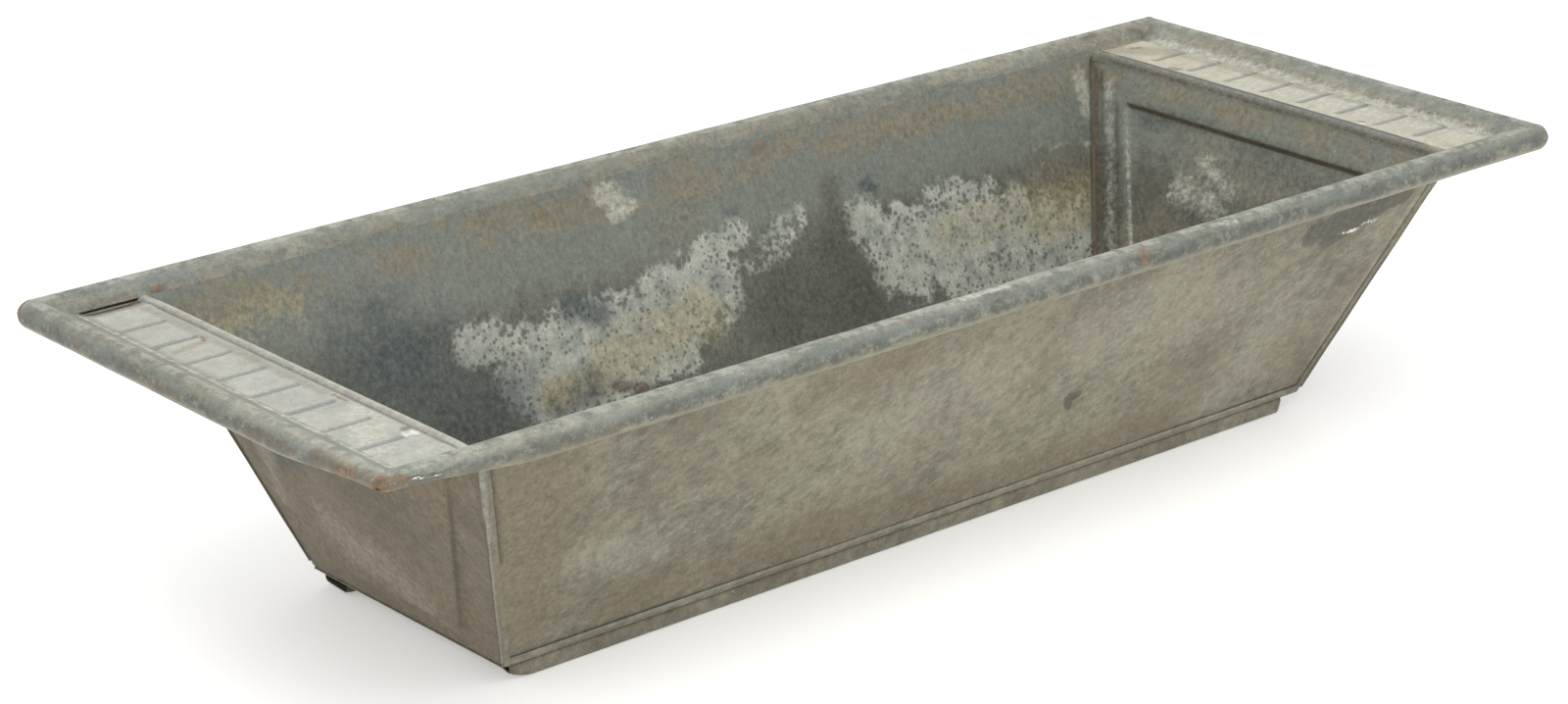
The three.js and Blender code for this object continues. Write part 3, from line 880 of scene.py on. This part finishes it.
for wall, long_side in (("rear", True), ("front", True), ("right", False), ("left", False)):
    if long_side:
        line = roll_out
        rise = [(skirt_foot.x, skirt_foot.y)]
        rise += [
            (roll_out + sweep_radius * math.cos(a), sweep_up + sweep_radius * math.sin(a))
            for a in steps(wall_angle, math.pi / 2, 10)]
    else:
        line = end_roll_out
        rise = [
            (ramp_start + ramp_run * t, ramp_low + (crest_up - ramp_low) * t * t * (3 - 2 * t))
            for t in steps(0, 1, 16)]
    roll = [(line + roll_radius * c, roll_up + roll_radius * s) for c, s in curl]
    ends = []
    for turn in (-1, 1):
        if long_side:
            edge = [place(wall, turn * ramp_reach(up), out, up) for out, up in rise]
            edge += [place(wall, turn * end_roll_out, out, up) for out, up in roll]
        else:
            edge = [place(wall, turn * sweep_reach(up), out, up) for out, up in rise]
            edge += [place(wall, turn * roll_out, out, up) for out, up in roll]
        ends.append(edge)
    piece = skin(f"rolled_rim_{wall}", ends, 300 if long_side else 130, upwards)
    mark_outside(piece, wall, line)
    for layer, *stroke in rim_strokes[wall]:
        brush(piece, layer, stroke)

    def rim_fade(at):
        """Keeps a rim's foot where the side or the ledge meets it."""
        out = abs(at.y) if long_side else abs(at.x)
        return max(0.0, min(1.0, (at.z - 290) / 4)) if out < line else 1

    buckle(piece, 0.35, 55, 3.3, rim_fade)
    crush_corner(piece)
    finish_sheet(piece, sheet, [rim_zinc], "rim_zinc", f"{wall}_rim")


# Steel tubes inside the rolls: rusted mild steel, seen only from below through the rolls' slits.
def face_outwards(piece, axis):
    """Turns a tube's faces to look away from its middle line, which runs along x (0) or y (1)."""
    points = [vertex.co for vertex in piece.data.vertices]
    middle = sum(points, Vector()) / len(points)

    def looks_out(face):
        offset = face.center - middle
        offset[axis] = 0
        return offset.dot(face.normal) * face.area

    if sum(map(looks_out, piece.data.polygons)) < 0:
        flip(piece)


rusty_steel = zinc_finish(
    "rusted_mild_steel", "#3a2a20", "#6d4a33", "#2c2420", [], rough=0.85, metal=0.2, relief=0.6,
    cloud=40, streak=(8, 8))
for wall, length, line in (
        ("rear", end_roll_out, roll_out), ("front", end_roll_out, roll_out),
        ("right", roll_out, end_roll_out), ("left", roll_out, end_roll_out)):
    circle = [(math.cos(a), math.sin(a)) for a in steps(0, 2 * math.pi, 33)]
    ends = [
        [place(wall, turn * (length - 1), line + roll_radius_inside * c, roll_up + roll_radius_inside * s)
         for c, s in circle]
        for turn in (-1, 1)]
    piece = skin(f"steel_tube_in_{wall}_roll", ends, 40, upwards)
    face_outwards(piece, 0 if wall in ("rear", "front") else 1)
    crush_corner(piece, whole=True)
    finish_sheet(piece, 2, [rusty_steel], "bare_steel_tube", f"{wall}_rim_tube")


# ------------------------------------------------------------
# Ledges: flat sheets between trough and end roll, with eight grooves stamped down across each.

ledge_layers = ["buff", "chalk", "pale", "brown", "groove", "shadow", "rust", "white"]
ledge_zinc = {
    "right": zinc_finish(
        "dusty_zinc_ledge_right", "#a5a190", "#cfcbb9", "#bdb4a0", ledge_layers, rough=0.7, metal=0.15,
        relief=0.15, cloud=70, streak=(14, 9), contrast=0.24, grit=0.08),
    "left": zinc_finish(
        "pale_zinc_ledge_left", "#989a92", "#bfbfb5", "#b3ac9c", ledge_layers, rough=0.65, metal=0.15,
        relief=0.15, cloud=70, streak=(14, 9), contrast=0.24, grit=0.07),
}
groove_from, groove_to = 652.0, 697.5
groove_pitch = 54.8
groove_depth = 2.0
ledge_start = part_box("right_ledge")[0].x / mm
ledge_stop = 704.0
ledge_half = sweep_reach(ledge_up) - 0.3
ledge_strokes = {
    "left": (
        ("buff", (-645, 230), (-645, -60), 6, 0.8), ("buff", (-700, 240), (-700, 20), 5, 0.9),
        ("pale", (-646, -120), (-690, -200), 16, 0.9), ("white", (-642, -192), (-647, -190), 5, 1.0),
        ("rust", (-640, -178), (-643, -180), 4.5, 0.85), ("rust", (-648, 132), (-652, 122), 3, 0.7),
        ("buff", (-652, 120), (-690, 112), 5, 0.9), ("brown", (-690, 133), (-698, 130), 3, 0.7),
        ("rust", (-642, -70), (-642, -90), 2.5, 0.7), ("shadow", (-690, 259.5), (-640, 259.5), 3.4, 0.95),
        ("brown", (-700, 257), (-632, 257), 5, 0.9), ("rust", (-640, 257), (-630, 258), 5, 0.85),
        ("buff", (-715, 250), (-640, 250), 7, 0.9)),
    "right": (
        ("buff", (650, 250), (690, 200), 16, 0.9), ("buff", (690, 180), (700, -220), 8, 0.8),
        ("pale", (660, 60), (690, -220), 18, 0.8), ("rust", (640, 259), (704, 259), 2.4, 0.85),
        ("rust", (640, 158), (646, 154), 3, 0.9), ("rust", (640, 150), (647, 147), 2.4, 0.9),
        ("brown", (668, 242), (676, 238), 5, 0.6), ("brown", (700, 232), (704, 226), 4, 0.6),
        ("white", (641, -124), (643, -126), 3, 0.9), ("rust", (645, -120), (647, -123), 2.5, 0.8)),
}

def ledge_fade(at):
    """Holds a ledge still where the rolls meet it."""
    return max(0.0, min(1.0, (ledge_stop - abs(at.x)) / 12, (260 - abs(at.y)) / 12))


for wall in ("right", "left"):
    side = 1 if wall == "right" else -1
    ends = [
        [place(wall, turn * ledge_half, out, ledge_up) for out in steps(ledge_start, ledge_stop, 46)]
        for turn in (-1, 1)]
    piece = skin(f"grooved_ledge_{wall}", ends, 360, upwards)
    for i in range(8):
        middle = (i - 3.5) * groove_pitch
        press(piece, lambda at: abs(at.y - middle) < 1.5 and groove_from < abs(at.x) < groove_to,
              (0, 0, -groove_depth), 5.2)
        brush(piece, "groove", (
            (side * (groove_from - 1), middle, ledge_up - 1.4),
            (side * (groove_to + 3), middle, ledge_up - 1.4), 3.6, 1.0))
    for layer, first, last, half_width, strength in ledge_strokes[wall]:
        brush(piece, layer, ((*first, ledge_up), (*last, ledge_up), half_width, strength))
    # Painted shade along the ledge's inner edge, in the crease by the bead.
    brush(piece, "groove", (
        (side * ledge_start, -226, ledge_up), (side * ledge_start, 226, ledge_up), 1.6, 1.0))
    if wall == "left":
        # The solder along the rear edge has torn here, and the ledge has dropped away from the rim.
        press(piece, lambda at: at.y > ledge_half - 1 and -684 < at.x < -648, (0, 0, -4), 28)
    buckle(piece, 0.5, 60, 4.4 * side, ledge_fade)
    finish_sheet(piece, sheet, [outer_zinc, ledge_zinc[wall]], "ledge_zinc", f"{wall}_ledge")


# ------------------------------------------------------------
# Ledge folds: the ledge's inner edge is hooked over the end sheet's top in a round bead, and
# solder carries the bead's ends down to the long sides.

fold_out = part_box("right_ledge_fold")[1].x / mm - fold_radius
# Each bead's lighter top band is a painted highlight.
bead_zinc = {
    "right": zinc_finish(
        "rubbed_zinc_bead_right_painted_highlight", "#6c6a5e", "#8d897a", "#746c5c", ledge_layers, rough=0.6, metal=0.25,
        relief=0.2, cloud=70, streak=(14, 6), bands=((290.2, 300, 0.4, "#a9a495", 0.4, 18, None),)),
    "left": zinc_finish(
        "rubbed_zinc_bead_left_painted_highlight", "#7c837f", "#9ea29b", "#8f8e82", ledge_layers, rough=0.55, metal=0.3,
        relief=0.2, cloud=70, streak=(14, 6), bands=((289.4, 300, 0.8, "#bab8ab", 0.80, 0, None),)),
}
proud_radius = fold_radius + 0.35
skirt_drop = 7
down = Vector((math.sin(end_lean), math.cos(end_lean)))
for wall in ("right", "left"):
    def bead_section(turn, along, width, height):
        """The bead's section at a place along it, with a short skirt down the end sheet."""
        arc = steps(math.pi - end_lean, math.radians(-30), 18)
        wide, high = proud_radius * width, proud_radius * height
        line = [Vector((fold_out + wide * math.cos(a), fold_up + high * math.sin(a))) for a in arc]
        line = [line[0] - down * drop for drop in (skirt_drop, skirt_drop / 2)] + line
        return [place(wall, turn * along, p.x, p.y) for p in line]

    ends = [bead_section(turn, 236, 1, 1) for turn in (-1, 1)]
    piece = skin(f"folded_bead_{wall}", ends, 120, upwards)
    buckle(piece, 0.35, 40, 1.3)
    side = 1 if wall == "right" else -1
    brush(piece, "rust", ((side * fold_out, 160, 290), (side * (fold_out - 6), 157, 280), 2.6, 0.9),
          ((side * fold_out, 148, 290), (side * (fold_out - 6), 146, 281), 2.2, 0.8))
    if wall == "right":
        # Painted shade on the right bead: a dark line at its crest, a blue-grey line standing for the groove
        # by the ledge, drawn on the side towards the trough, and a dark line low on that side.
        brush(piece, "shadow", ((fold_out + 0.6, -222, 291), (fold_out + 0.6, 224, 291), 2.3, 0.85))
        brush(piece, "groove", ((fold_out - 2.5, -228, 290.4), (fold_out - 2.5, 228, 290.4), 3.4, 0.9))
        brush(piece, "shadow", ((fold_out - 6.2, -236, 285), (fold_out - 6.2, 236, 285), 2.0, 0.8))
    else:
        brush(piece, "buff", ((-fold_out - 3, -220, 290), (-fold_out - 3, 220, 290), 2.2, 0.7))
    finish_sheet(piece, sheet, [bead_zinc[wall]], "ledge_zinc", f"{wall}_ledge_fold")
    for turn in (-1, 1):
        lines = [
            bead_section(turn, along, width, height)
            for along, height, width in (
                (235, 0.98, 1), (244, 0.9, 1.05), (254, 0.8, 1.12),
                (inner_half_width(fold_up) + 0.8, 0.85, 1.2))]
        along_side = {"right": ("rear", "front"), "left": ("front", "rear")}[wall][0 if turn < 0 else 1]
        piece = skin(f"solder_run_{along_side}_{wall}", lines, 3, upwards)
        buckle(piece, 0.5, 12, 6.1)
        finish_sheet(piece, 1.0, [bead_zinc[wall]], "solder", f"fold_solder_{along_side}_{wall}")


# ------------------------------------------------------------
# Corner caps: where two rolls meet the opening is closed with a hammered quarter dome and solder.

for side, y_sign in (("rear", 1), ("front", -1)):
    for hand, x_sign in (("left", -1), ("right", 1)):
        corner_at = Vector((x_sign * end_roll_out, y_sign * roll_out, roll_up))
        bpy.ops.object.select_all(action="DESELECT")
        bpy.ops.mesh.primitive_uv_sphere_add(
            segments=64, ring_count=32, radius=roll_radius * mm, location=corner_at * mm)
        piece = bpy.context.object
        piece.name = piece.data.name = f"corner_dome_{side}_{hand}"
        bpy.ops.object.transform_apply(location=True)
        bpy.ops.object.mode_set(mode="EDIT")
        for normal in ((x_sign, 0, 0), (0, y_sign, 0)):
            bpy.ops.mesh.select_all(action="SELECT")
            bpy.ops.mesh.bisect(plane_co=corner_at * mm, plane_no=normal, clear_inner=True)
        bpy.ops.object.mode_set(mode="OBJECT")
        mark_outside(piece, side, roll_out)
        out = Vector((x_sign, y_sign, 0)).normalized() * roll_radius
        if hand == "left":
            round_to = math.radians(-8 if side == "rear" else -25) * -y_sign
            hole = corner_at + Matrix.Rotation(round_to, 3, "Z") @ out
            worn_at = corner_at + out * 0.9
            brush(piece, "rust", (worn_at + Vector((0, 0, 6)), worn_at + Vector((0, 0, -9)), 13, 0.8))
            brush(piece, "brown", (hole + Vector((0, 0, 6)), hole + Vector((0, 0, -8)), 12, 0.9))
            press(piece, lambda at: (at - hole + Vector((0, 0, 3))).length < 2, hole.normalized() * -3.5, 4)
            brush(piece, "shadow", (hole - Vector((0, 0, 3)), hole - Vector((0, 0, 3)), 2.6, 1.0))
        buckle(piece, 0.5, 9, x_sign + 2 * y_sign + 5, lambda at: 1 if at.z > roll_up - 11 else 0)
        crush_corner(piece, whole=True)
        finish_sheet(piece, sheet, [rim_zinc], "solder", f"corner_cap_{side}_{hand}")


# ------------------------------------------------------------
# Skids: folded hollow runners of the same sheet under the floor, open at both ends. The nose is
# worn round and the tail is cut on the slant.

for wall in ("rear", "front"):
    low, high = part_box(f"{wall}_runner")
    width = (high.y - low.y) / mm
    height = (high.z - low.z) / mm
    middle = abs(low.y + high.y) / 2 / mm
    nose, tail = 519.0, 506.0
    worn = {"rear": 3, "front": 9}[wall]
    nose_run, skew_run = 30, 20
    corner = 5.5
    loop = []
    for cx, cz, first in ((1, 1, 0), (-1, 1, 90), (-1, -1, 180), (1, -1, 270)):
        for a in steps(first, first + 90, 6):
            loop.append(Vector((
                middle + cx * (width / 2 - corner) + corner * math.cos(math.radians(a)),
                height / 2 + cz * (height / 2 - corner) + corner * math.sin(math.radians(a)))))
    loop.append(loop[0])
    toe = 1 if wall == "front" else -1
    ends = [
        [place(wall, -toe * (tail - 7 * (1 - p.y / height)), p.x, p.y) for p in loop],
        [place(wall, toe * nose, p.x, p.y) for p in loop]]
    askew = {"rear": 3, "front": 9}[wall]
    piece = skin(f"hollow_skid_{wall}", ends, 150, upwards)
    for vertex in piece.data.vertices:
        along = abs(vertex.co.x) / mm
        if vertex.co.x < 0 and along > nose - nose_run:
            across = (vertex.co.y - low.y) / (high.y - low.y)
            vertex.co.x += askew * across * max(0, (along - nose + skew_run) / skew_run) * mm
            lift = worn * ((along - nose + nose_run) / nose_run) ** 2
            vertex.co.z += lift * mm * (1 - vertex.co.z / mm / height)
    face_outwards(piece, 0)
    buckle(piece, 0.5, 80, 2.1, lambda at: min(1, max(0, (at.z - 1) / 4)) * min(1, max(0, (17 - at.z) / 4)))
    near, far = low.y / mm, high.y / mm
    lip = [Vector((-nose, y, z)) for y, z in ((near, 10), (near, 2), (far, 2), (far, 10))]
    brush(piece, "shadow", *[(first, last, 7, 0.9) for first, last in zip(lip, lip[1:])])
    brush(piece, "earth", *[(first, last, 20, 0.9) for first, last in zip(lip, lip[1:])])
    finish_sheet(piece, sheet, [outer_zinc], "runner_zinc", f"{wall}_runner")
